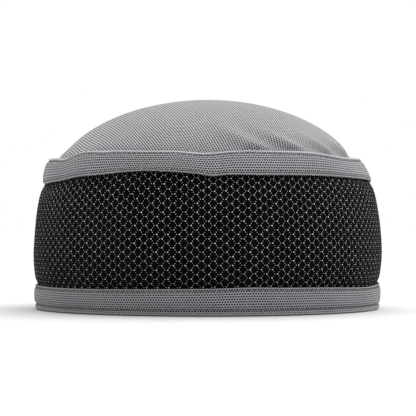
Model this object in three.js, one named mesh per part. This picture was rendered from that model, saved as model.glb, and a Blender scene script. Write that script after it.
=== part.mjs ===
// A soft round cap with upright sides, empty and resting on its rim.
// A dark side panel is bound along its lower and upper edges by folded tapes of pale
// mesh cloth. A domed crown of the same mesh rises from inside the upper tape, whose
// top edge is turned over into a stitched roll. Each of the four cloth pieces is one
// closed thin wall, and each ring is hollow inside, where the head goes.
// Millimetres, +Z up, front towards -Y, right towards +X. The origin is the centre of
// the rim, on the surface that the cap rests on.
import * as THREE from "three";

// Plan of the cap: every ring is an ellipse, a little deeper than it is wide.
const depthRatio = 1.045;
const ringSegments = 80;
const frontCrowding = 0.35; // 0 spaces the segments evenly, more packs them at the front

// Cloth thickness, and the gaps left between pieces that are sewn together
const panelWall = 1.2;
const tapeWall = 1.0;
const crownWall = 1.2;
const seamGap = 0.3; // between two faces
const edgeGap = 0.6; // between a cloth edge and the fold that it is tucked into

// Side panel, outer face, from its hidden lower edge to its hidden upper edge
const panelSections = [
  { height: 4.0, halfWidth: 90.4 },
  { height: 13.2, halfWidth: 90.9 },
  { height: 17.0, halfWidth: 92.3 },
  { height: 24.0, halfWidth: 93.3 },
  { height: 32.0, halfWidth: 93.5 },
  { height: 44.0, halfWidth: 92.45 },
  { height: 55.0, halfWidth: 90.8 },
  { height: 64.0, halfWidth: 88.9 },
  { height: 69.0, halfWidth: 86.6 },
  { height: 75.0, halfWidth: 84.6 },
];

// Lower tape: a U that holds the panel's lower edge, and rests on a flat fold
const lowerTapeTop = 13.2;
const lowerTapeInsideTop = 12.6;
const lowerTapeOutside = [
  { height: lowerTapeTop, halfWidth: 92.2 },
  { height: 11.0, halfWidth: 92.55 },
  { height: 7.5, halfWidth: 92.8 },
  { height: 4.1, halfWidth: 92.35 },
  { height: 2.9, halfWidth: 91.6 }, // stitched line
  { height: 1.6, halfWidth: 92.2 },
  { height: 0.5, halfWidth: 91.6 },
];
const restingFold = { outer: 90.6, inner: 88.7 };
const lowerTapeInside = [
  { height: 0.6, halfWidth: 88.0 },
  { height: 3.0, halfWidth: 87.8 },
  { height: lowerTapeInsideTop, halfWidth: 88.3 },
];

// Upper tape: an upside-down U that holds the panel's upper edge, with a roll on top
const upperTapeBottom = 69.0;
const upperTapeInsideBottom = 71.5;
const upperRollTop = 80.3;
const upperTapeOutside = [
  { height: 71.0, halfWidth: 87.8 },
  { height: 73.6, halfWidth: 87.0 },
  { height: 76.2, halfWidth: 85.9 },
  { height: 78.2, halfWidth: 84.7 },
  { height: 78.9, halfWidth: 83.7 }, // stitched line
  { height: 79.5, halfWidth: 83.85 },
  { height: 80.1, halfWidth: 83.2 },
  { height: upperRollTop, halfWidth: 81.9 },
  { height: 79.9, halfWidth: 80.4 },
];

// Crown: a dome that is part of an ellipse in section, with a skirt tucked into the tape
const domeCentreHeight = 60.5;
const domeHalfWidth = 85.0;
const crownTop = 111.5;
const domeEdgeHeight = 79.2; // where the dome passes inside the roll
const domeSteps = 10;
const domeInsideSteps = 7;
const crownSkirt = [
  { height: 77.0, halfWidth: 80.1 },
  { height: 71.8, halfWidth: 81.9 },
];

// Soft waves of the tapes: the angle of each, how far round it spreads, and how far it
// lifts the upper tape's lower edge and its roll, moves that edge outwards, and lifts the
// lower tape's top edge. A column that is left out is 0. Angles are degrees to the right
// of the front.
const tapeWaves = [
  { angle: -90, spread: 20, edgeLift: -2.4, rollLift: -0.9, edgeOut: -0.9 },
  { angle: -74, spread: 9, edgeLift: -2.1, rollLift: -1.0 },
  { angle: -60, spread: 9, edgeLift: -1.9, rollLift: -2.0 },
  { angle: -40, spread: 12, edgeLift: -0.6, rollLift: 0.9 },
  { angle: -21, spread: 15, edgeLift: 2.2, rollLift: 0.2 },
  { angle: 0, spread: 7, rollLift: -1.5 },
  { angle: 1.5, spread: 3.5, edgeLift: -1.1 },
  { angle: 16, spread: 12, edgeLift: -0.5, rollLift: 0.7 },
  { angle: 37, spread: 14, edgeLift: -0.3, rollLift: 1.35 },
  { angle: 58, spread: 12, edgeLift: -0.35, rollLift: -0.4 },
  { angle: 62, spread: 20, tapeLift: -1.2 },
  { angle: 90, spread: 20, edgeLift: -1.65, rollLift: 0.5, edgeOut: -0.4 },
  { angle: 150, spread: 24, edgeLift: 0.7, rollLift: 0.4 },
  { angle: -150, spread: 22, edgeLift: -0.6, rollLift: -0.4 },
];
const waveReach = 9.0; // how far up and down the cloth a lifted edge is felt
const flatBelow = 1.0; // the cloth keeps flat up to here, where it rests
const softAbove = 6.0;
const edgeLeanIn = 0.38; // how much the sides lean in for each millimetre that they rise
const rollTilt = -0.8; // height of the roll at the right, from its height at the front
const lowerTapeTilt = 0.5; // the same for the top edge of the lower tape
const shoulderLean = 1.5; // the right shoulder leans in by this much, the left one out
const leanStart = 66.0;
const leanEnd = 80.0;
const leanFadeAbove = 5.0;

// Pull folds of the crown. Each starts at the roll and climbs away to the left.
const crownFolds = [
  { angle: 20.8, spread: 4.6, height: 1.7, climb: 8.5 },
  { angle: 37.0, spread: 4.4, height: 1.9, climb: 7.5 },
  { angle: 56.5, spread: 4.2, height: 1.6, climb: 6.5 },
  { angle: 74.0, spread: 4.5, height: 1.7, climb: 5.5 },
];
const foldStart = 80.0;
const foldCrest = 3.0; // rise above the start where a fold stands highest
const foldTwist = -1.05; // degrees round the cap for each millimetre of rise
// The valley beside a fold, measured in heights and spreads of the fold
const foldValley = { depth: 0.28, aside: 1.9, spread: 1.2 };

const degree = THREE.MathUtils.DEG2RAD;
const axisWithin = 0.001; // points nearer to the axis than this stay on it

// Finishes
const paleMesh = { color: 0x9c9da1, roughness: 0.85, metalness: 0 };
const paleTape = { color: 0x8b8c91, roughness: 0.85, metalness: 0 };
const darkKnit = { color: 0x17191c, roughness: 0.8, metalness: 0 };

// A smooth bump, 1 high at distance 0
function bump(distance, spread) {
  return Math.exp(-((distance / spread) ** 2));
}

// The turn from one angle to another, from -180 to 180 degrees
function turn(from, to) {
  return THREE.MathUtils.euclideanModulo(to - from + 180, 360) - 180;
}

// The sum of one column of the wave table, at an angle
function waveSum(column, angle) {
  return tapeWaves.reduce(
    (sum, wave) => sum + (wave[column] ?? 0) * bump(turn(wave.angle, angle), wave.spread),
    0,
  );
}

// How far soft cloth at this place is moved outwards and upwards. All four pieces use
// it, so that faces that are sewn together keep their gap.
function softShift(angle, height) {
  const side = Math.sin(angle * degree);
  const nearEdge = bump(height - upperTapeBottom, waveReach);
  const nearRoll = bump(height - upperRollTop, waveReach);
  const edgeLift = waveSum("edgeLift", angle) * nearEdge * (1 - nearRoll);
  const rollLift = (waveSum("rollLift", angle) + rollTilt * side) * nearRoll;
  const offRim = THREE.MathUtils.smoothstep(height, flatBelow, softAbove);
  const nearTape = bump(height - lowerTapeTop, waveReach);
  const tapeLift = (waveSum("tapeLift", angle) + lowerTapeTilt * side) * offRim * nearTape;
  const leaning = THREE.MathUtils.smoothstep(height, leanStart, leanEnd);
  const leanFade = bump(Math.max(0, height - upperRollTop), leanFadeAbove);
  const edgeOut = waveSum("edgeOut", angle) * nearEdge * (1 - nearRoll);
  return {
    outward: edgeOut - edgeLeanIn * edgeLift - shoulderLean * side * leaning * leanFade,
    upward: edgeLift + rollLift + tapeLift,
  };
}

// How far the crown's cloth stands out of its smooth dome
function foldHeight(angle, height) {
  const rise = height - foldStart;
  if (rise <= 0) return 0;
  return crownFolds.reduce((sum, fold) => {
    const away = turn(fold.angle + foldTwist * rise, angle);
    const ridge = bump(away, fold.spread);
    const fromValley = away - foldValley.aside * fold.spread;
    const valley = foldValley.depth * bump(fromValley, foldValley.spread * fold.spread);
    const fade = THREE.MathUtils.smoothstep(rise, 0, foldCrest);
    return sum + fold.height * (ridge - valley) * fade * bump(rise - foldCrest, fold.climb);
  }, 0);
}

// The crown's folds, as a shift along the dome's normal
function crownShift(angle, halfWidth, height) {
  const domeRise = crownTop - domeCentreHeight;
  const normal = new THREE.Vector2(
    halfWidth / domeHalfWidth ** 2,
    (height - domeCentreHeight) / domeRise ** 2,
  ).normalize();
  const stand = foldHeight(angle, height);
  return { outward: normal.x * stand, upward: normal.y * stand };
}

function noShift() {
  return { outward: 0, upward: 0 };
}

// Turns a closed outline of points (half width, height) round the cap, and moves the
// points as soft cloth.
function clothRing(outline, ownShift = noShift) {
  const geometry = new THREE.LatheGeometry(outline, ringSegments);
  geometry.rotateX(Math.PI / 2);
  const position = geometry.getAttribute("position");
  for (let i = 0; i < position.count; i++) {
    const halfWidth = Math.hypot(position.getX(i), position.getY(i));
    const height = position.getZ(i);
    const evenTurn = Math.atan2(position.getX(i), -position.getY(i));
    const crowdedTurn = evenTurn - frontCrowding * Math.sin(evenTurn);
    const angle = crowdedTurn / degree;
    const soft = softShift(angle, height);
    const own = ownShift(angle, halfWidth, height);
    const onAxis = halfWidth < axisWithin;
    const radius = onAxis ? 0 : halfWidth + soft.outward + own.outward;
    position.setXYZ(
      i,
      radius * Math.sin(crowdedTurn),
      -radius * Math.cos(crowdedTurn) * depthRatio,
      onAxis ? height : height + soft.upward + own.upward,
    );
  }
  return geometry;
}

function toPoint({ halfWidth, height }) {
  return new THREE.Vector2(halfWidth, height);
}

// An outline that ends where it starts
function closed(points) {
  return [...points, points[0].clone()];
}

// Half width of the panel's outer face at a height
function panelHalfWidth(height) {
  const above = panelSections.findIndex((section) => section.height >= height);
  const [low, high] = [panelSections[above - 1], panelSections[above]];
  const share = (height - low.height) / (high.height - low.height);
  return THREE.MathUtils.lerp(low.halfWidth, high.halfWidth, share);
}

function panelOutline() {
  const outside = panelSections.map(toPoint);
  const inside = outside.map((point) => new THREE.Vector2(point.x - panelWall, point.y));
  return closed([...outside, ...inside.reverse()]);
}

function lowerTapeOutline() {
  const panelBottom = panelSections[0];
  const slotBottom = panelBottom.height - edgeGap;
  const slotOuter = panelBottom.halfWidth + seamGap;
  const slotInner = panelBottom.halfWidth - panelWall - seamGap;
  const lipOuter = panelHalfWidth(lowerTapeTop) + seamGap;
  const lipInner = panelHalfWidth(lowerTapeInsideTop) - panelWall - seamGap;
  return closed(
    [
      ...lowerTapeOutside.map(toPoint),
      new THREE.Vector2(restingFold.outer, 0),
      new THREE.Vector2(restingFold.inner, 0),
      ...lowerTapeInside.map(toPoint),
      new THREE.Vector2(lipInner, lowerTapeInsideTop),
      new THREE.Vector2(slotInner, slotBottom),
      new THREE.Vector2(slotOuter, slotBottom),
      new THREE.Vector2(lipOuter, lowerTapeTop),
    ].reverse(),
  );
}

function upperTapeOutline() {
  const panelTop = panelSections[panelSections.length - 1];
  const slotTop = panelTop.height + edgeGap;
  const slotOuter = panelTop.halfWidth + seamGap;
  const slotInner = panelTop.halfWidth - panelWall - seamGap;
  const lipOuter = panelHalfWidth(upperTapeBottom) + seamGap;
  const legOuter = panelHalfWidth(upperTapeInsideBottom) - panelWall - seamGap;
  const [skirtTop, skirtBottom] = crownSkirt;
  return closed([
    new THREE.Vector2(lipOuter + tapeWall, upperTapeBottom),
    ...upperTapeOutside.map(toPoint),
    new THREE.Vector2(domeOutside(domeEdgeHeight) + seamGap, domeEdgeHeight),
    new THREE.Vector2(skirtTop.halfWidth + seamGap, skirtTop.height),
    new THREE.Vector2(skirtBottom.halfWidth + seamGap, upperTapeInsideBottom),
    new THREE.Vector2(legOuter, upperTapeInsideBottom),
    new THREE.Vector2(slotInner, slotTop),
    new THREE.Vector2(slotOuter, slotTop),
    new THREE.Vector2(lipOuter, upperTapeBottom),
  ]);
}

// Half width of the dome's outer face at a height
function domeOutside(height) {
  const share = (height - domeCentreHeight) / (crownTop - domeCentreHeight);
  return domeHalfWidth * Math.sqrt(1 - share ** 2);
}

// One face of the dome, from its top to the height where it enters the tape
function domeArc(inset, steps) {
  const halfWidth = domeHalfWidth - inset;
  const rise = crownTop - domeCentreHeight - inset;
  const lastTurn = Math.acos((domeEdgeHeight - domeCentreHeight) / rise);
  return Array.from({ length: steps + 1 }, (_, i) => {
    const sweep = (lastTurn * i) / steps;
    return new THREE.Vector2(
      halfWidth * Math.sin(sweep),
      domeCentreHeight + rise * Math.cos(sweep),
    );
  });
}

function crownOutline() {
  const outside = [...domeArc(0, domeSteps), ...crownSkirt.map(toPoint)];
  const skirtInside = crownSkirt.map(
    ({ halfWidth, height }) => new THREE.Vector2(halfWidth - crownWall, height),
  );
  const inside = [...domeArc(crownWall, domeInsideSteps), ...skirtInside];
  return [...outside, ...inside.reverse()].reverse();
}

const cap = new THREE.Group();

function addPiece(name, geometry, finish) {
  const piece = new THREE.Mesh(geometry, new THREE.MeshStandardMaterial(finish));
  piece.name = name;
  cap.add(piece);
}

addPiece("lower_tape", clothRing(lowerTapeOutline()), paleTape);
addPiece("side_panel", clothRing(panelOutline()), darkKnit);
addPiece("upper_tape", clothRing(upperTapeOutline()), paleTape);
addPiece("crown", clothRing(crownOutline(), crownShift), paleMesh);

export default cap;
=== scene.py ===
import math
import bpy
import numpy as np
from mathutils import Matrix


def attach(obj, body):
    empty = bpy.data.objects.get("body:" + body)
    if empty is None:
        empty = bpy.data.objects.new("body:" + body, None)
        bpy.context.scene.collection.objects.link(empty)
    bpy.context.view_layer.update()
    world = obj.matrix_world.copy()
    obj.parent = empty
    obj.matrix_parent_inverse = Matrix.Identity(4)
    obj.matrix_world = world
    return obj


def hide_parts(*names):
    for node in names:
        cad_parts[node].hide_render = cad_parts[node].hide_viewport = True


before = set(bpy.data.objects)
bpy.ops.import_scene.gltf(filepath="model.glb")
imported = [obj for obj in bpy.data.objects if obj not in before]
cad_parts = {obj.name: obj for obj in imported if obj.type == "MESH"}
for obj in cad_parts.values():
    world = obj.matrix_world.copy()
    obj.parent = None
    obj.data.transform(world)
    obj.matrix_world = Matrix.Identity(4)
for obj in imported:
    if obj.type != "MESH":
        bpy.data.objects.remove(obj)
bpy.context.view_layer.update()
print("frame loaded")

# Lengths in the dictionaries are millimetres and angles degrees. Angles go round the cap
# from the front, which faces -Y, towards the right, +X.
mm = 0.001

cap = {
    "depthRatio": 1.045,       # every ring is an ellipse, this much deeper than wide
    "segments": 480,           # faces round the cap
    "sewWithin": 0.002,        # points this close become one, where a turned piece meets itself
    "waveReach": 9.0,          # how far up and down a lifted tape edge is felt
    "flatBelow": 1.0,          # the cloth keeps flat up to here, where it rests
    "softAbove": 6.0,          # and is wholly soft from here up
    "edgeHeight": 69.0,        # lower edge of the upper tape
    "rollHeight": 80.3,        # top of its roll
    "edgeLeanIn": 0.38,        # how far the sides lean in for each millimetre of rise
    "rollTilt": -0.8,          # how much higher the roll is at the right than in the middle
    "lowerTapeHeight": 13.2,   # top edge of the lower tape
    "lowerTapeTilt": 0.5,      # and how much higher it is at the right
    "shoulderLean": 1.5,       # the left shoulder stands out by this much, and the right one in
    "leanStart": 66.0,         # the lean starts at this height,
    "leanEnd": 80.0,           # is full at this one,
    "leanFade": 5.0,           # and fades within this above the roll
}

# Each wave lifts the upper tape's lower edge and its roll, or the top edge of the lower tape.
# Some pull the upper tape's lower edge in.
tapeWaves = [
    {"angle": -90, "spread": 20, "edgeLift": -2.4, "rollLift": -0.9, "edgeOut": -0.9},
    {"angle": -74, "spread": 9, "edgeLift": -2.1, "rollLift": -1.0},
    {"angle": -60, "spread": 9, "edgeLift": -1.9, "rollLift": -2.0},
    {"angle": -40, "spread": 12, "edgeLift": -0.6, "rollLift": 0.9},
    {"angle": -21, "spread": 15, "edgeLift": 2.2, "rollLift": 0.2},
    {"angle": 0, "spread": 7, "edgeLift": 0.0, "rollLift": -0.9},
    {"angle": 1.5, "spread": 3.5, "edgeLift": -1.1, "rollLift": 0.0},
    {"angle": 16, "spread": 12, "edgeLift": -0.5, "rollLift": 0.7},
    {"angle": 37, "spread": 14, "edgeLift": -0.3, "rollLift": 1.35},
    {"angle": 58, "spread": 12, "edgeLift": -0.35, "rollLift": -0.4},
    {"angle": -45, "spread": 28, "tapeLift": -0.5},
    {"angle": 13, "spread": 9, "tapeLift": 0.45},
    {"angle": 62, "spread": 20, "tapeLift": -1.2},
    {"angle": 90, "spread": 20, "edgeLift": -1.65, "rollLift": 0.5, "edgeOut": -0.4},
    {"angle": 150, "spread": 24, "edgeLift": 0.7, "rollLift": 0.4},
    {"angle": -150, "spread": 22, "edgeLift": -0.6, "rollLift": -0.4},
]


def bump(distance, spread):
    return np.exp(-(distance / spread) ** 2)


def smoothstep(value, low, high):
    share = np.clip((value - low) / (high - low), 0, 1)
    return share * share * (3 - 2 * share)


def turnFrom(start, angle):
    return (angle - start + 180) % 360 - 180


def waveSum(column, angle, waves=tapeWaves):
    return sum(w.get(column, 0) * bump(turnFrom(w["angle"], angle), w["spread"]) for w in waves)


# Slow dents that all the cloth has, from waves that cross. The waves' lengths are over two pi.
dents = {
    "rise": 0.28,
    "fullAt": 40.0,            # they grow from the axis out to this radius
    "along": {"x": 13, "height": 19, "shift": 1.0},
    "across": {"y": 15, "height": 23, "shift": 0.4},
    "small": {"x": 7.1, "y": 9.3, "height": 8.7, "share": 0.5},
}


# The dents are worked out from the place alone, so that neighbours share them
def slowDents(angle, radius, height):
    x = radius * np.sin(np.radians(angle))
    y = -radius * np.cos(np.radians(angle))
    along, across, small = dents["along"], dents["across"], dents["small"]
    broad = np.sin(x / along["x"] + height / along["height"] + along["shift"])
    broad = broad * np.sin(y / across["y"] - height / across["height"] + across["shift"])
    return broad + small["share"] * np.sin(x / small["x"] - y / small["y"] + height / small["height"])


# Moves points as soft cloth moves. Every piece goes through it, so sewn faces stay together.
def softened(angle, radius, height):
    side = np.sin(np.radians(angle))
    nearEdge = bump(height - cap["edgeHeight"], cap["waveReach"])
    nearRoll = bump(height - cap["rollHeight"], cap["waveReach"])
    edgeLift = waveSum("edgeLift", angle) * nearEdge * (1 - nearRoll)
    rollLift = (waveSum("rollLift", angle) + cap["rollTilt"] * side) * nearRoll
    offRim = smoothstep(height, cap["flatBelow"], cap["softAbove"])
    nearTape = bump(height - cap["lowerTapeHeight"], cap["waveReach"])
    tapeLift = (waveSum("tapeLift", angle) + cap["lowerTapeTilt"] * side) * offRim * nearTape
    lean = smoothstep(height, cap["leanStart"], cap["leanEnd"])
    lean = lean * bump(np.maximum(0, height - cap["rollHeight"]), cap["leanFade"])
    outward = -cap["edgeLeanIn"] * edgeLift - cap["shoulderLean"] * side * lean
    outward = outward + waveSum("edgeOut", angle) * nearEdge * (1 - nearRoll)
    offAxis = smoothstep(radius, 0, dents["fullAt"])
    outward = outward + dents["rise"] * slowDents(angle, radius, height) * offRim * offAxis
    return radius + outward, height + edgeLift + rollLift + tapeLift


def inSpace(angle, radius, height):
    a = np.radians(angle)
    return np.stack([radius * np.sin(a), -radius * np.cos(a) * cap["depthRatio"], height], -1)


# Softens a piece that has been turned to shape, with a shift of its own if it has one
def soften(obj, ownShift=None):
    mesh = obj.data
    flat = np.empty(len(mesh.vertices) * 3)
    mesh.vertices.foreach_get("co", flat)
    x, y, height = flat.reshape(-1, 3).T / mm
    y = y / cap["depthRatio"]
    angle, radius = np.degrees(np.arctan2(x, -y)), np.hypot(x, y)
    newRadius, newHeight = softened(angle, radius, height)
    if ownShift:
        outward, upward = ownShift(angle, radius, height)
        newRadius, newHeight = newRadius + outward, newHeight + upward
    mesh.vertices.foreach_set("co", (inSpace(angle, newRadius, newHeight) * mm).ravel())
    mesh.update()


# A smooth line through a few corners, with its points evenly spaced, and the run to each point.
# A line that ends on the axis arrives there level.
def smoothLine(corners, step, toAxis=False, pointsInSpan=16):
    p = np.array(corners, float)
    beyond = p[-2] * [-1, 1] if toAxis else 2 * p[-1] - p[-2]
    p = np.vstack([2 * p[0] - p[1], p, beyond])
    t = np.linspace(0, 1, pointsInSpan, endpoint=False)[:, None]
    spans = []
    for a, b, c, d in zip(p, p[1:], p[2:], p[3:]):
        bend = 2 * b + (c - a) * t + (2 * a - 5 * b + 4 * c - d) * t**2
        spans.append(0.5 * (bend + (3 * b - a - 3 * c + d) * t**3))
    fine = np.vstack([*spans, p[-2]])
    run = np.concatenate([[0], np.cumsum(np.linalg.norm(np.diff(fine, axis=0), axis=1))])
    even = np.linspace(0, run[-1], round(run[-1] / step) + 1)
    return np.column_stack([np.interp(even, run, fine[:, i]) for i in (0, 1)]), even


# Where the points lie that round a wall's edge
edgeTurns = np.radians([36, 72, 108, 144])[:, None]


# The outline of a cloth wall: its outer face, its inner face, and round edges between them.
# One that ends on the axis runs from the inner face's top, round the lower edge, to the top.
def wallOutline(line, run, wall, toAxis=False):
    along = np.gradient(line, axis=0)
    along /= np.linalg.norm(along, axis=1)[:, None]
    inner = line + np.column_stack([-along[:, 1], along[:, 0]]) * wall
    if toAxis:
        inner[-1, 0] = 0

    def edge(i, way):
        middle = (line[i] + inner[i]) / 2
        half = (line[i] - inner[i]) / 2
        return middle + half * np.cos(edgeTurns) + way * along[i] * wall / 2 * np.sin(edgeTurns)

    lowEdge = edge(0, -1)[::-1]
    lowRun = np.full(len(lowEdge), run[0])
    if toAxis:
        return np.vstack([inner[::-1], lowEdge, line]), np.concatenate([run[::-1], lowRun, run])
    highEdge = edge(-1, 1)
    highRun = np.full(len(highEdge), run[-1])
    outline = np.vstack([line, highEdge, inner[::-1], lowEdge])
    return outline, np.concatenate([run, highRun, run[::-1], lowRun])


def addObject(name, data):
    obj = bpy.data.objects.new(name, data)
    bpy.context.scene.collection.objects.link(obj)
    return obj


# An outline as an object to turn: radius along X, height along Z, and the run as an attribute
def outlineObject(name, outline, runs):
    mesh = bpy.data.meshes.new(name)
    points = np.column_stack([outline[:, 0], np.zeros(len(outline)), outline[:, 1]]) * mm
    mesh.from_pydata(points.tolist(), [(i, i + 1) for i in range(len(outline) - 1)], [])
    mesh.attributes.new("run", "FLOAT", "POINT").data.foreach_set("value", runs * mm)
    return addObject(name, mesh)


# Adds a node to a tree, sets its options, and links or fills its inputs by number or name
def node(tree, kind, inputs=None, **options):
    made = tree.nodes.new(kind)
    for key, value in options.items():
        setattr(made, key, value)
    for key, value in (inputs or {}).items():
        if isinstance(value, bpy.types.NodeSocket):
            tree.links.new(value, made.inputs[key])
        else:
            made.inputs[key].default_value = value
    return made


def calc(tree, operation, *values):
    return node(tree, "ShaderNodeMath", dict(enumerate(values)), operation=operation).outputs[0]


def vector(tree, operation, *values):
    made = node(tree, "ShaderNodeVectorMath", dict(enumerate(values)), operation=operation)
    return made.outputs["Value" if operation == "LENGTH" else "Vector"]


def joined(tree, x, y, z=0.0):
    return node(tree, "ShaderNodeCombineXYZ", {0: x, 1: y, 2: z}).outputs[0]


def geometryTree(name, inputs):
    tree = bpy.data.node_groups.new(name, "GeometryNodeTree")
    tree.interface.new_socket("Geometry", in_out="INPUT", socket_type="NodeSocketGeometry")
    tree.interface.new_socket("Geometry", in_out="OUTPUT", socket_type="NodeSocketGeometry")
    for label, kind in inputs.items():
        tree.interface.new_socket(label, in_out="INPUT", socket_type="NodeSocket" + kind)
    return tree, node(tree, "NodeGroupInput").outputs


def finishTree(tree, geometry, material):
    real = node(tree, "GeometryNodeRealizeInstances", {0: geometry}).outputs[0]
    dressed = node(tree, "GeometryNodeSetMaterial", {0: real, 2: material}).outputs[0]
    node(tree, "NodeGroupOutput", {0: dressed})
    return tree


# Runs a tree on an object and keeps what it makes as the object's plain mesh
def runTree(obj, tree, values):
    modifier = obj.modifiers.new(tree.name, "NODES")
    modifier.node_group = tree
    for socket in tree.interface.items_tree:
        if socket.in_out == "INPUT" and socket.name in values:
            modifier[socket.identifier] = values[socket.name]
    evaluated = obj.evaluated_get(bpy.context.evaluated_depsgraph_get())
    mesh = bpy.data.meshes.new_from_object(evaluated)
    obj.modifiers.remove(modifier)
    old, obj.data = obj.data, mesh
    bpy.data.meshes.remove(old)
    mesh.name = obj.name


# Turns an outline round the cap. Its weave is either rows along a strip, or a flat disc of
# cloth that has been pulled over the dome, so that it has no seam.
def turningTree(name, asDisc):
    tree, given = geometryTree(name, {
        "Segments": "Int", "Closed outline": "Int", "Depth ratio": "Float", "Columns": "Float",
        "Column pitch": "Float", "Row pitch": "Float", "Slant": "Float", "Bow": "Float",
        "Squeeze": "Float", "Sew within": "Float", "Cloth": "Material",
    })
    outline = given["Geometry"]
    count = node(tree, "GeometryNodeAttributeDomainSize", {0: outline}).outputs["Point Count"]
    rows = calc(tree, "ADD", calc(tree, "SUBTRACT", count, 1), given["Closed outline"])
    grid = node(tree, "GeometryNodeMeshGrid", {
        "Size X": 1.0, "Vertices X": calc(tree, "ADD", given["Segments"], 1),
        "Size Y": 1.0, "Vertices Y": calc(tree, "ADD", rows, 1),
    }).outputs["Mesh"]
    place = node(tree, "GeometryNodeInputPosition").outputs[0]
    share = node(tree, "ShaderNodeSeparateXYZ", {0: place}).outputs
    angle = calc(tree, "MULTIPLY", share[0], math.tau)
    row = calc(tree, "ROUND", calc(tree, "MULTIPLY", calc(tree, "ADD", share[1], 0.5), rows))
    row = calc(tree, "MODULO", row, count)
    corner = node(
        tree, "GeometryNodeSampleIndex", {0: outline, 1: place, 2: row}, data_type="FLOAT_VECTOR"
    ).outputs[0]
    corner = node(tree, "ShaderNodeSeparateXYZ", {0: corner}).outputs
    runHere = node(tree, "GeometryNodeInputNamedAttribute", {0: "run"}, data_type="FLOAT").outputs[0]
    run = node(
        tree, "GeometryNodeSampleIndex", {0: outline, 1: runHere, 2: row}, data_type="FLOAT"
    ).outputs[0]
    if asDisc:
        slanted = calc(tree, "SUBTRACT", angle, given["Slant"])
        along = calc(tree, "MULTIPLY", run, calc(tree, "COSINE", slanted))
        across = calc(tree, "MULTIPLY", run, calc(tree, "SINE", slanted))
        # pulling bows the rows and squeezes them together on one side
        aside = calc(tree, "MULTIPLY", run, calc(tree, "SINE", angle))
        ahead = calc(tree, "MULTIPLY", run, calc(tree, "COSINE", angle))
        bowed = calc(tree, "MULTIPLY", calc(tree, "MULTIPLY", ahead, ahead), given["Bow"])
        squeezed = calc(tree, "MULTIPLY", calc(tree, "MULTIPLY", aside, aside), given["Squeeze"])
        fanned = calc(tree, "MULTIPLY", calc(tree, "MULTIPLY", aside, ahead), given["Bow"])
        across = calc(tree, "SUBTRACT", calc(tree, "SUBTRACT", across, bowed), squeezed)
        u = calc(tree, "DIVIDE", calc(tree, "ADD", along, fanned), given["Column pitch"])
    else:
        # an ellipse's run gets ahead of the angle by this much, so columns stay evenly spaced
        ahead = calc(tree, "MULTIPLY", calc(tree, "SUBTRACT", given["Depth ratio"], 1), 0.25)
        twice = calc(tree, "SINE", calc(tree, "MULTIPLY", angle, 2))
        even = calc(tree, "SUBTRACT", angle, calc(tree, "MULTIPLY", ahead, twice))
        u = calc(tree, "MULTIPLY", calc(tree, "DIVIDE", even, math.tau), given["Columns"])
        across = run
    weave = joined(tree, u, calc(tree, "DIVIDE", across, given["Row pitch"]))
    woven = node(
        tree, "GeometryNodeStoreNamedAttribute", {0: grid, 2: "weave", 3: weave},
        data_type="FLOAT2", domain="CORNER",
    ).outputs[0]
    x = calc(tree, "MULTIPLY", corner[0], calc(tree, "SINE", angle))
    y = calc(tree, "MULTIPLY", corner[0], calc(tree, "COSINE", angle))
    y = calc(tree, "MULTIPLY", calc(tree, "MULTIPLY", y, given["Depth ratio"]), -1)
    around = joined(tree, x, y, corner[2])
    turned = node(tree, "GeometryNodeSetPosition", {0: woven, "Position": around}).outputs[0]
    sewing = {0: turned, "Distance": given["Sew within"]}
    sewn = node(tree, "GeometryNodeMergeByDistance", sewing).outputs[0]
    smooth = node(tree, "GeometryNodeSetShadeSmooth", {0: sewn}).outputs[0]
    return finishTree(tree, smooth, given["Cloth"])


stripTree = turningTree("turnedStrip", asDisc=False)
discTree = turningTree("turnedDisc", asDisc=True)


def turnPiece(name, outline, runs, tree, values):
    obj = outlineObject(name, outline, runs)
    runTree(obj, tree, {
        "Segments": cap["segments"], "Depth ratio": cap["depthRatio"],
        "Sew within": cap["sewWithin"] * mm, **values,
    })
    return obj


def ridingCloth(obj, cadNode):
    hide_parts(cadNode)
    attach(obj, "root")


# Distance, in millimetres, to the nearest hole of a staggered weave
def holeDistance(tree, weave, look):
    columnPitch = look["columnPitch"] / look["holeLength"]
    size = (columnPitch, 2 * look["rowPitch"], 0)
    half = (-columnPitch / 2, -look["rowPitch"], 0)
    nearest = []
    for start in ((0.5, 0.5, 0), (0, 0, 0)):
        place = vector(tree, "MULTIPLY_ADD", weave, (1, 0.5, 0), start)
        place = vector(tree, "MULTIPLY_ADD", vector(tree, "FRACTION", place), size, half)
        nearest.append(vector(tree, "LENGTH", place))
    return calc(tree, "MINIMUM", *nearest)


# Leads a value from the first to the last number while it goes from low to high
def ramp(tree, value, low, high, first=0.0, last=1.0, kind="SMOOTHSTEP"):
    inputs = {0: value, 1: low, 2: high, 3: first, 4: last}
    return node(tree, "ShaderNodeMapRange", inputs, interpolation_type=kind).outputs[0]


def mixColour(tree, share, first, second):
    return node(tree, "ShaderNodeMix", {0: share, 6: first, 7: second}, data_type="RGBA").outputs[2]


def noise(tree, place, scale, detail=2.0):
    inputs = {"Vector": place, "Scale": scale, "Detail": detail}
    return node(tree, "ShaderNodeTexNoise", inputs).outputs[0]


def clothShader(name, look):
    material = bpy.data.materials.new(name)
    material.use_nodes = True
    shader = material.node_tree.nodes["Principled BSDF"]
    shader.inputs["Roughness"].default_value = look["roughness"]
    shader.inputs["Specular IOR Level"].default_value = look["specular"]
    shader.inputs["Sheen Weight"].default_value = look["sheen"]
    shader.inputs["Sheen Roughness"].default_value = look["sheenRoughness"]
    return material, material.node_tree, shader


# Yarn with slow changes of shade
def yarnColour(tree, place, look):
    slow = noise(tree, place, look["shadeScale"], look["shadeDetail"])
    shade = ramp(tree, slow, *look["shadeRange"], kind="LINEAR")
    return mixColour(tree, shade, (*look["yarnDark"], 1), (*look["yarn"], 1))


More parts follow.
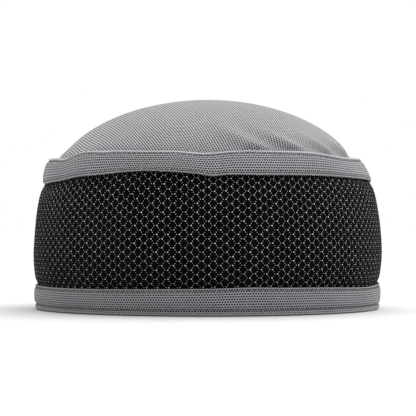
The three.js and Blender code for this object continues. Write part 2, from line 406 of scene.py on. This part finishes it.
def addRelief(tree, shader, height, look):
    inputs = {"Height": height, "Strength": look["reliefStrength"], "Distance": look["relief"] * mm}
    tree.links.new(node(tree, "ShaderNodeBump", inputs).outputs[0], shader.inputs["Normal"])


# Knitted cloth: loops of yarn round staggered holes, with fine fibres. The holes get a dark colour,
# painted shade of what lies behind the cloth. A look's lengths are in millimetres, and its scales are of
# noises, in waves to the metre.
def knitMaterial(name, look):
    material, tree, shader = clothShader(name, look)
    weave = node(tree, "ShaderNodeUVMap", uv_map="weave").outputs[0]
    place = node(tree, "ShaderNodeTexCoord").outputs["Object"]
    row = node(tree, "ShaderNodeSeparateXYZ", {0: weave}).outputs[1]
    placed = node(tree, "ShaderNodeSeparateXYZ", {0: place}).outputs
    weave = vector(tree, "MULTIPLY", weave, (look["holesPerColumn"], look["holesPerRow"], 0))
    away = holeDistance(tree, weave, look)
    for first, last in look.get("closedRows", []):
        begun = ramp(tree, row, first - look["closeWithin"], first)
        closed = calc(tree, "MULTIPLY", begun, ramp(tree, row, last, last + look["closeWithin"], 1, 0))
        away = calc(tree, "MULTIPLY_ADD", closed, look["closeBy"], away)
    uneven = noise(tree, place, look["wobbleScale"])
    away = calc(tree, "ADD", away, ramp(tree, uneven, 0, 1, -look["wobble"], look["wobble"], "LINEAR"))
    low, high = look["holeRadius"] - look["holeSoft"], look["holeRadius"] + look["holeSoft"]
    yarnShare = ramp(tree, away, low, high)
    # where a look says so, the holes' painted shade fades along an axis to the mean share of yarn
    for part in look.get("holeShadeFade", []):
        axis = placed[part["axis"]]
        beyond = ramp(tree, axis, part["start"] * mm, part["end"] * mm, 0, part["by"])
        toMean = calc(tree, "SUBTRACT", look["meanShare"], yarnShare)
        yarnShare = calc(tree, "MULTIPLY_ADD", beyond, toMean, yarnShare)
    # the holes' dark colour is painted shade of what lies behind the cloth
    colour = mixColour(tree, yarnShare, (*look["hole"], 1), yarnColour(tree, place, look))
    tree.links.new(colour, shader.inputs["Base Color"])
    loops = ramp(tree, away, low, look["loopTop"])
    fibres = noise(tree, place, look["fibreScale"], detail=3.0)
    addRelief(tree, shader, calc(tree, "MULTIPLY_ADD", fibres, look["fibreHeight"], loops), look)
    return material


# Crown
crown = {
    "top": 111.5,
    "centreHeight": 60.5,      # of the ellipse that the dome is part of
    "halfWidth": 85.0,
    "edgeHeight": 79.2,        # where the dome passes inside the roll
    "skirt": [(81.9, 71.9), (80.1, 77.0)],    # corners under the dome: radius and height
    "domeCorners": 14,
    "wall": 1.1,
    "lineStep": 1.4,           # length of a face along the outline
    "foldStart": 80.0,
    "foldCrest": 3.0,          # rise above the start where a fold stands highest
    "foldTwist": -1.05,        # degrees round the cap for each millimetre of rise
    # the valley beside each fold, as shares of the fold's height and spread
    "valley": {"depth": 0.28, "aside": 1.9, "spread": 1.2},
    "cutAcross": 0.2,          # metres across the round cut of cloth, laid flat
}

crownFolds = [
    {"angle": 20.8, "spread": 4.6, "height": 1.7, "climb": 8.5},
    {"angle": 37.0, "spread": 4.4, "height": 1.9, "climb": 7.5},
    {"angle": 56.5, "spread": 4.2, "height": 1.6, "climb": 6.5},
    {"angle": 74.0, "spread": 4.5, "height": 1.7, "climb": 5.5},
]

crownLook = {
    # the rows slant by some degrees, bow, and are squeezed together on one side
    "columnPitch": 1.47, "rowPitch": 1.45, "slant": 5.9, "bow": 2.27, "squeeze": 0.93,
    "holesPerColumn": 1, "holesPerRow": 1, "holeLength": 1.32,
    "holeRadius": 0.47, "holeSoft": 0.11, "loopTop": 0.8, "wobble": 0.07, "wobbleScale": 2200.0,
    # the holes' painted shade fades towards the right and the top, to the cloth's mean share of yarn
    "meanShare": 0.57,         # of yarn in the cloth
    "holeShadeFade": [
        {"axis": "X", "start": 36.0, "end": 56.0, "by": 0.6},
        {"axis": "Z", "start": 104.5, "end": 109.5, "by": 0.65},
    ],
    # the hole colour is painted shade of the hollow under the crown
    "yarn": (0.69, 0.696, 0.72), "yarnDark": (0.64, 0.646, 0.67), "hole": (0.02, 0.021, 0.024),
    "shadeScale": 45.0, "shadeDetail": 3.0, "shadeRange": (0.3, 0.7),
    "relief": 0.35, "reliefStrength": 0.8, "fibreHeight": 0.12, "fibreScale": 5200.0,
    "roughness": 0.8, "specular": 0.25, "sheen": 0.25, "sheenRoughness": 0.45,
}


# The pull folds at the front right, along the dome's normal
def crownFoldShift(angle, radius, height):
    rise = height - crown["foldStart"]
    valley = crown["valley"]
    stand = np.zeros_like(rise)
    for fold in crownFolds:
        away = turnFrom(fold["angle"] + crown["foldTwist"] * rise, angle)
        ridge = bump(away, fold["spread"])
        beside = bump(away - valley["aside"] * fold["spread"], valley["spread"] * fold["spread"])
        swell = smoothstep(rise, 0, crown["foldCrest"]) * bump(rise - crown["foldCrest"], fold["climb"])
        stand = stand + fold["height"] * (ridge - valley["depth"] * beside) * swell
    across = radius / crown["halfWidth"] ** 2
    up = (height - crown["centreHeight"]) / (crown["top"] - crown["centreHeight"]) ** 2
    size = np.hypot(across, up)
    return stand * across / size, stand * up / size


def crownOutline():
    tall = crown["top"] - crown["centreHeight"]
    lastTurn = math.acos((crown["edgeHeight"] - crown["centreHeight"]) / tall)
    dome = [
        (crown["halfWidth"] * math.sin(turn), crown["centreHeight"] + tall * math.cos(turn))
        for turn in np.linspace(lastTurn, 0, crown["domeCorners"])
    ]
    line, run = smoothLine([*crown["skirt"], *dome], crown["lineStep"], toAxis=True)
    return wallOutline(line, run[-1] - run, crown["wall"], toAxis=True)


crownCloth = turnPiece("crown_cloth", *crownOutline(), discTree, {
    "Closed outline": 0,
    "Column pitch": crownLook["columnPitch"] * mm,
    "Row pitch": crownLook["rowPitch"] * mm,
    "Slant": math.radians(crownLook["slant"]),
    "Bow": crownLook["bow"],
    "Squeeze": crownLook["squeeze"],
    "Cloth": knitMaterial("crownMesh", crownLook),
})
soften(crownCloth, crownFoldShift)
ridingCloth(crownCloth, "crown")
print("crown made")

# Tapes. The upper one runs up the outside from its lower edge, over the roll, and down inside.
# The lower one runs down inside, round the fold that the cap rests on, and up the outside.
upperTape = {
    "line": [
        (87.5, 69.0), (87.85, 69.6), (87.5, 70.3), (87.75, 71.0), (87.0, 73.6), (85.9, 76.2),
        (85.3, 77.4), (84.6, 78.3), (83.6, 78.95), (83.85, 79.6), (83.2, 80.15), (82.0, 80.35),
        (80.7, 79.9), (79.7, 78.9), (80.5, 76.9), (82.3, 71.6),
    ],
    "wall": 0.6,
    "lineStep": 0.33,
    "columns": 422,            # of holes, round the cap
    "closedRows": [(9.6, 12.3)],    # where the tape is turned over, and its holes close
    "grooveHeight": 78.95,     # the stitched groove under the roll
    "grooveReach": 1.1,
}

# How the groove wanders up and down on the tape
grooveWaves = [
    {"angle": -61, "spread": 5, "lift": -0.7},
    {"angle": -49, "spread": 5, "lift": 0.35},
    {"angle": -38, "spread": 4, "lift": -0.9},
    {"angle": 0, "spread": 20, "lift": 0.35},
    {"angle": -3, "spread": 7, "lift": -0.4},
    {"angle": 40, "spread": 16, "lift": -0.55},
    {"angle": 66, "spread": 14, "lift": -0.6},
    {"angle": -74, "spread": 9, "lift": -0.5},
]

# An upright crease near the upper tape's left end. It fades in between two radii, so that only
# the outside of the tape has it.
tapeCrease = {
    "angle": -77, "spread": 1.8, "depth": 0.8, "height": 74.0, "reach": 3.6,
    "innerRadius": 84, "outerRadius": 85,
}

lowerTape = {
    "line": [
        (88.3, 12.6), (88.0, 7.5), (87.8, 3.0), (88.0, 0.8), (88.8, 0.05), (89.6, 0.0),
        (90.6, 0.05), (91.7, 0.4), (92.25, 1.5), (91.5, 2.9), (92.35, 4.1), (92.75, 7.5),
        (92.6, 10.8), (91.9, 12.0), (92.3, 12.7), (92.05, 13.2),
    ],
    "wall": 0.6,
    "lineStep": 0.33,
    "columns": 448,            # of holes, round the cap
    "closedRows": [(12.5, 13.9)],
}

tapeLook = {
    "columnPitch": 1.325, "rowPitch": 1.21,
    "holesPerColumn": 1, "holesPerRow": 1, "holeLength": 1.05,
    "holeRadius": 0.47, "holeSoft": 0.08, "loopTop": 0.7, "wobble": 0.06, "wobbleScale": 2200.0,
    "closeBy": 0.18,           # how far in the holes close,
    "closeWithin": 0.4,        # over this many rows
    # the hole colour is painted shade of what lies behind the tape
    "yarn": (0.655, 0.661, 0.692), "yarnDark": (0.6, 0.606, 0.637), "hole": (0.006, 0.006, 0.008),
    "shadeScale": 45.0, "shadeDetail": 3.0, "shadeRange": (0.3, 0.7),
    "relief": 0.35, "reliefStrength": 0.8, "fibreHeight": 0.12, "fibreScale": 5200.0,
    "roughness": 0.8, "specular": 0.25, "sheen": 0.25, "sheenRoughness": 0.45,
}


def upperTapeShift(angle, radius, height):
    near = bump(height - upperTape["grooveHeight"], upperTape["grooveReach"])
    crease = bump(turnFrom(tapeCrease["angle"], angle), tapeCrease["spread"])
    crease = crease * smoothstep(radius, tapeCrease["innerRadius"], tapeCrease["outerRadius"])
    crease = crease * bump(height - tapeCrease["height"], tapeCrease["reach"])
    return -tapeCrease["depth"] * crease, waveSum("lift", angle, grooveWaves) * near


# A tape, turned round the cap, with its weave laid as on the flat strip that it was cut as
def makeTape(name, tape, cadNode, ownShift=None):
    line, run = smoothLine(tape["line"], tape["lineStep"])
    outline, runs = wallOutline(line, run, tape["wall"])
    outline[:, 1] = np.maximum(outline[:, 1], 0)
    cloth = turnPiece(name, outline, runs, stripTree, {
        "Closed outline": 1, "Columns": tape["columns"], "Row pitch": tapeLook["rowPitch"] * mm,
        "Cloth": knitMaterial(name + "_mesh", {**tapeLook, "closedRows": tape["closedRows"]}),
    })
    soften(cloth, ownShift)
    ridingCloth(cloth, cadNode)


makeTape("upper_tape_cloth", upperTape, "upper_tape", upperTapeShift)
makeTape("lower_tape_cloth", lowerTape, "lower_tape")
print("tapes made")

# Side panel, from its hidden lower edge to its hidden upper edge
sidePanel = {
    "line": [
        (90.4, 4.0), (90.9, 13.2), (92.3, 17.0), (93.3, 24.0), (93.5, 32.0), (92.45, 44.0),
        (90.8, 55.0), (88.9, 64.0), (86.6, 69.0), (84.6, 75.0),
    ],
    "wall": 1.1,
    "lineStep": 1.4,
    "columns": 104,            # cells of dots round the cap
    "cellHeight": 4.33,
    "dotHeight": 63.15,        # one row of large dots is this high
    "cutLength": 0.6,          # metres
}

panelLook = {
    "columnPitch": 0.72, "rowPitch": 1.08,
    "holesPerColumn": 8, "holesPerRow": 4, "holeLength": 1.0,
    "holeRadius": 0.24, "holeSoft": 0.08, "loopTop": 0.45, "wobble": 0.05, "wobbleScale": 2600.0,
    # the hole colour is painted shade of the hollow behind the panel
    "yarn": (0.0052, 0.0057, 0.0063), "yarnDark": (0.0032, 0.0036, 0.0041), "hole": (0.0, 0.0, 0.0),
    "shadeScale": 60.0, "shadeDetail": 3.0, "shadeRange": (0.3, 0.7),
    "relief": 0.25, "reliefStrength": 0.7, "fibreHeight": 0.15, "fibreScale": 5200.0,
    "roughness": 0.75, "specular": 0.025, "sheen": 0.008, "sheenRoughness": 0.5,
}

panelLine, panelRun = smoothLine(sidePanel["line"], sidePanel["lineStep"])
dotRun = np.interp(sidePanel["dotHeight"], panelLine[:, 1], panelRun)
panelRun = panelRun - dotRun % sidePanel["cellHeight"]
panelWeave = {"Columns": sidePanel["columns"], "Row pitch": sidePanel["cellHeight"] * mm}
panelCloth = turnPiece(
    "side_panel_cloth", *wallOutline(panelLine, panelRun, sidePanel["wall"]), stripTree,
    {"Closed outline": 1, "Cloth": knitMaterial("panelKnit", panelLook), **panelWeave},
)
soften(panelCloth)
ridingCloth(panelCloth, "side_panel")
print("side panel made")


# Thread, for the dots and for the stitches, with a fine twist of fibres
def threadMaterial(name, look):
    material, tree, shader = clothShader(name, look)
    place = node(tree, "ShaderNodeTexCoord").outputs["Object"]
    tree.links.new(yarnColour(tree, place, look), shader.inputs["Base Color"])
    addRelief(tree, shader, noise(tree, place, look["fibreScale"], detail=3.0), look)
    return material


# Dots of pale thread on the panel's outer face, in a honeycomb: a cell has eight of them, on a
# grid of eight columns and four rows. Two are large and stand half a cell apart, each with a
# small one on its left, and the other four lie in the rows between.
dotThread = {
    "yarn": (0.915, 0.94, 0.935), "yarnDark": (0.745, 0.77, 0.765),
    "shadeScale": 420.0, "shadeDetail": 2.0, "shadeRange": (0.35, 0.65),
    "relief": 0.08, "reliefStrength": 0.5, "fibreScale": 6000.0,
    "roughness": 0.85, "specular": 0.05, "sheen": 0.0, "sheenRoughness": 0.5,
}

dots = {
    "Columns": sidePanel["columns"],
    "Turned by": 0.14,         # in cells, so that they stand as in the photo
    "First row": 1,
    "Rows": 15,                # of cells
    "Large": 0.83 * mm,        # width of a large dot,
    "Beside": 0.42 * mm,       # of the one on its left,
    "Between": 0.39 * mm,      # and of one in the rows between
    "Rise": 0.06 * mm,
    "Unevenness": 0.13,        # share by which the sizes differ
    "Seed": 7,
}


# A random size for each point, as far above and below 1 as the unevenness says
def unevenSize(tree, given):
    least = calc(tree, "SUBTRACT", 1, given["Unevenness"])
    most = calc(tree, "ADD", 1, given["Unevenness"])
    inputs = {2: least, 3: most, "Seed": given["Seed"]}
    return node(tree, "FunctionNodeRandomValue", inputs, data_type="FLOAT").outputs[1]


def dotTree():
    cellColumns, cellRows = 8, 4
    tree, given = geometryTree("panelDots", {
        "Columns": "Int", "Turned by": "Float", "First row": "Int", "Rows": "Int",
        "Large": "Float", "Beside": "Float", "Between": "Float", "Rise": "Float",
        "Unevenness": "Float", "Seed": "Int", "Thread": "Material",
    })
    # the grid of points, counted in i and j
    across = calc(tree, "MULTIPLY", given["Columns"], cellColumns)
    upwards = calc(tree, "MULTIPLY", given["Rows"], cellRows)
    sizes = [calc(tree, "SUBTRACT", across, 1), calc(tree, "SUBTRACT", upwards, 1)]
    grid = node(tree, "GeometryNodeMeshGrid", {
        "Size X": sizes[0], "Vertices X": across, "Size Y": sizes[1], "Vertices Y": upwards,
    }).outputs["Mesh"]
    place = node(tree, "GeometryNodeInputPosition").outputs[0]
    share = node(tree, "ShaderNodeSeparateXYZ", {0: place}).outputs
    i = calc(tree, "ROUND", calc(tree, "MULTIPLY_ADD", sizes[0], 0.5, share[0]))
    j = calc(tree, "ROUND", calc(tree, "MULTIPLY_ADD", sizes[1], 0.5, share[1]))
    evenRow = calc(tree, "COMPARE", calc(tree, "FLOORED_MODULO", j, 2), 0, 0.5)
    stepped = calc(tree, "FLOORED_MODULO", calc(tree, "MULTIPLY_ADD", j, -2, i), cellColumns)
    large = calc(tree, "MULTIPLY", evenRow, calc(tree, "COMPARE", stepped, 0, 0.5))
    beside = calc(tree, "MULTIPLY", evenRow, calc(tree, "COMPARE", stepped, 6, 0.5))
    quarter = calc(tree, "COMPARE", calc(tree, "FLOORED_MODULO", i, 4), 1, 0.5)
    between = calc(tree, "MULTIPLY", calc(tree, "SUBTRACT", 1, evenRow), quarter)

    # where each point lies on the panel, with the weave scaled to run from 0 to 1
    weave = node(tree, "GeometryNodeInputNamedAttribute", {0: "weave"}, data_type="FLOAT_VECTOR")
    toOne = joined(
        tree, calc(tree, "DIVIDE", 1, given["Columns"]), calc(tree, "DIVIDE", 1, given["Rows"])
    )
    weave = vector(tree, "MULTIPLY", weave.outputs[0], toOne)
    halfWay = calc(tree, "MULTIPLY", given["Columns"], 0.5)
    first = calc(tree, "SUBTRACT", given["Turned by"], halfWay)
    u = calc(tree, "ADD", calc(tree, "DIVIDE", i, cellColumns), first)
    u = calc(tree, "WRAP", u, halfWay, calc(tree, "MULTIPLY", halfWay, -1))
    v = calc(tree, "ADD", calc(tree, "DIVIDE", j, cellRows), given["First row"])
    spot = vector(tree, "MULTIPLY", joined(tree, u, v), toOne)

    def sampled(value):
        return node(
            tree, "GeometryNodeSampleUVSurface",
            {0: given["Geometry"], 1: value, 2: weave, 3: spot}, data_type="FLOAT_VECTOR",
        ).outputs["Value"]

    normal = sampled(node(tree, "GeometryNodeInputNormal").outputs[0])
    upright = node(
        tree, "FunctionNodeAxesToRotation", {0: normal, 1: (0, 0, 1)},
        primary_axis="Z", secondary_axis="Y",
    ).outputs[0]
    uneven = unevenSize(tree, given)
    inputs = {"Radius": 0.5, "Subdivisions": 1}
    largeShape = node(tree, "GeometryNodeMeshIcoSphere", inputs).outputs[0]
    inputs = {"Radius": 0.5, "Segments": 6, "Rings": 2}
    smallShape = node(tree, "GeometryNodeMeshUVSphere", inputs).outputs[0]
    kinds = [
        (large, largeShape, given["Large"]), (beside, smallShape, given["Beside"]),
        (between, smallShape, given["Between"]),
    ]
    everything = node(tree, "GeometryNodeJoinGeometry")
    for chosen, shape, width in kinds:
        points = node(tree, "GeometryNodeSeparateGeometry", {0: grid, 1: chosen}).outputs[0]
        size = vector(tree, "MULTIPLY", joined(tree, width, width, given["Rise"]), uneven)
        inputs = {"Points": points, "Instance": shape, "Rotation": upright, "Scale": size}
        turned = node(tree, "GeometryNodeInstanceOnPoints", inputs).outputs[0]
        # they go to their places last, because the rotation is worked out from the grid's places
        inputs = {0: turned, "Position": sampled(place)}
        laid = node(tree, "GeometryNodeSetPosition", inputs).outputs[0]
        tree.links.new(laid, everything.inputs[0])
    smooth = node(tree, "GeometryNodeSetShadeSmooth", {0: everything.outputs[0]}).outputs[0]
    return finishTree(tree, smooth, given["Thread"])


panelDots = turnPiece("panel_dots", panelLine, panelRun, stripTree, {"Closed outline": 0, **panelWeave})
soften(panelDots)
runTree(panelDots, dotTree(), {**dots, "Thread": threadMaterial("dotThread", dotThread)})
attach(panelDots, "root")
print("dots laid on the panel")

# Stitches, in rows round the cap: a row is the radius and the height of its line
stitchRows = {
    "upper_tape_stitches": [(83.7, 78.95), (87.6, 70.3)],
    "lower_tape_stitches": [(91.6, 2.9), (92.0, 12.0)],
}

stitches = {
    "Pitch": 2.9 * mm,         # from one stitch to the next
    "Length": 2.4 * mm,
    "Width": 0.45 * mm,
    "Rise": 0.3 * mm,
    "Depth ratio": cap["depthRatio"],
    "Unevenness": 0.14,        # share by which the sizes differ
    "Seed": 3,
}

# the stitches are real thread, and their dark colour is painted shade of the grooves they lie in
stitchThreadGrooveShade = {
    "yarn": (0.15, 0.152, 0.165), "yarnDark": (0.1, 0.102, 0.112),
    "shadeScale": 260.0, "shadeDetail": 2.0, "shadeRange": (0.35, 0.65),
    "relief": 0.06, "reliefStrength": 0.5, "fibreScale": 6000.0,
    "roughness": 0.6, "specular": 0.3, "sheen": 0.1, "sheenRoughness": 0.5,
}


# Lays stitches end to end along closed lines, each with its flat side towards the cloth
def stitchTree():
    tree, given = geometryTree("stitches", {
        "Pitch": "Float", "Length": "Float", "Width": "Float", "Rise": "Float",
        "Depth ratio": "Float", "Unevenness": "Float", "Seed": "Int", "Thread": "Material",
    })
    line = node(tree, "GeometryNodeMeshToCurve", {0: given["Geometry"]}).outputs[0]
    spacing = {0: line, "Length": given["Pitch"]}
    line = node(tree, "GeometryNodeResampleCurve", spacing, mode="LENGTH").outputs[0]
    place = node(tree, "GeometryNodeInputPosition").outputs[0]
    shallow = calc(tree, "POWER", given["Depth ratio"], -2)
    outward = vector(tree, "MULTIPLY", place, joined(tree, 1, shallow))
    along = node(tree, "GeometryNodeInputTangent").outputs[0]
    laid = node(
        tree, "FunctionNodeAxesToRotation", {0: along, 1: outward},
        primary_axis="X", secondary_axis="Z",
    ).outputs[0]
    uneven = unevenSize(tree, given)
    size = vector(tree, "MULTIPLY", joined(tree, given["Length"], given["Width"], given["Rise"]), uneven)
    inputs = {"Radius": 0.5, "Segments": 8, "Rings": 4}
    stitch = node(tree, "GeometryNodeMeshUVSphere", inputs).outputs[0]
    inputs = {"Points": line, "Instance": stitch, "Rotation": laid, "Scale": size}
    row = node(tree, "GeometryNodeInstanceOnPoints", inputs).outputs[0]
    smooth = node(tree, "GeometryNodeSetShadeSmooth", {0: row}).outputs[0]
    return finishTree(tree, smooth, given["Thread"])


# Closed lines round the cap, as a mesh of edges
def ringLines(name, rows):
    count = cap["segments"]
    angle = np.tile(np.arange(count) * 360 / count, len(rows))
    radius = np.repeat([row[0] for row in rows], count)
    height = np.repeat([row[1] for row in rows], count)
    starts = range(0, count * len(rows), count)
    edges = [(start + i, start + (i + 1) % count) for start in starts for i in range(count)]
    mesh = bpy.data.meshes.new(name)
    mesh.from_pydata((inSpace(angle, radius, height) * mm).tolist(), edges, [])
    return addObject(name, mesh)


# the stitch thread's dark colour is painted shade of the grooves
sewing = {**stitches, "Thread": threadMaterial("stitchThreadGrooveShade", stitchThreadGrooveShade)}
for name, rows in stitchRows.items():
    stitching = ringLines(name, rows)
    soften(stitching, upperTapeShift)
    runTree(stitching, stitchTree(), sewing)
    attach(stitching, "root")
print("stitches sewn")

# Floor, light and camera
studio = {
    "floorSize": 60.0,         # metres
    "floorDrop": 0.2,          # the floor is this far under the rim
    "floor": (0.8, 0.8, 0.8),
    "world": 0.27,             # light from all round
    "backdrop": 1.0,           # and how bright the camera sees it
    "sun": 3.5,
    "sunSpread": 70.0,         # how wide the soft sun is
    "sunBack": 17.0,           # how far it stands behind the cap, from straight above,
    "sunRight": 9.0,           # and to the right of it
    "cameraAway": 950.0,
    "cameraHeight": 42.0,
    "cameraAside": 0.32,
    "cameraPitch": 0.70,       # how far the camera looks up
    "lens": 152.6,
    "sensorWidth": 36,
    "seesUpTo": 200,           # metres
}

half = studio["floorSize"] / 2
down = -studio["floorDrop"] * mm
floorCorners = [(-half, -half, down), (half, -half, down), (half, half, down), (-half, half, down)]
floorMesh = bpy.data.meshes.new("floor")
floorMesh.from_pydata(floorCorners, [], [(0, 1, 2, 3)])
floor = addObject("floor", floorMesh)
floorMaterial = bpy.data.materials.new("paleFloor")
floorMaterial.use_nodes = True
floorShader = floorMaterial.node_tree.nodes["Principled BSDF"]
floorShader.inputs["Base Color"].default_value = (*studio["floor"], 1)
floorShader.inputs["Roughness"].default_value = 1.0
floorShader.inputs["Specular IOR Level"].default_value = 0.0
floor.data.materials.append(floorMaterial)

world = bpy.data.worlds.new("studio")
world.use_nodes = True
bpy.context.scene.world = world
air = world.node_tree
seen = node(air, "ShaderNodeLightPath").outputs["Is Camera Ray"]
glow = ramp(air, seen, 0, 1, studio["world"], studio["backdrop"], "LINEAR")
air.links.new(glow, air.nodes["Background"].inputs["Strength"])
air.nodes["Background"].inputs["Color"].default_value = (1, 1, 1, 1)

sunLight = bpy.data.lights.new("softSun", "SUN")
sunLight.energy = studio["sun"]
sunLight.angle = math.radians(studio["sunSpread"])
sun = addObject("softSun", sunLight)
sun.rotation_euler = (-math.radians(studio["sunBack"]), math.radians(studio["sunRight"]), 0)

cameraData = bpy.data.cameras.new("camera")
cameraData.lens = studio["lens"]
cameraData.sensor_width = studio["sensorWidth"]
cameraData.clip_end = studio["seesUpTo"]
camera = addObject("camera", cameraData)
camera.location = (studio["cameraAside"] * mm, -studio["cameraAway"] * mm, studio["cameraHeight"] * mm)
camera.rotation_euler = (math.radians(90 + studio["cameraPitch"]), 0, 0)
bpy.context.scene.camera = camera
bpy.context.scene.view_settings.view_transform = "Standard"
print("floor, light and camera set")
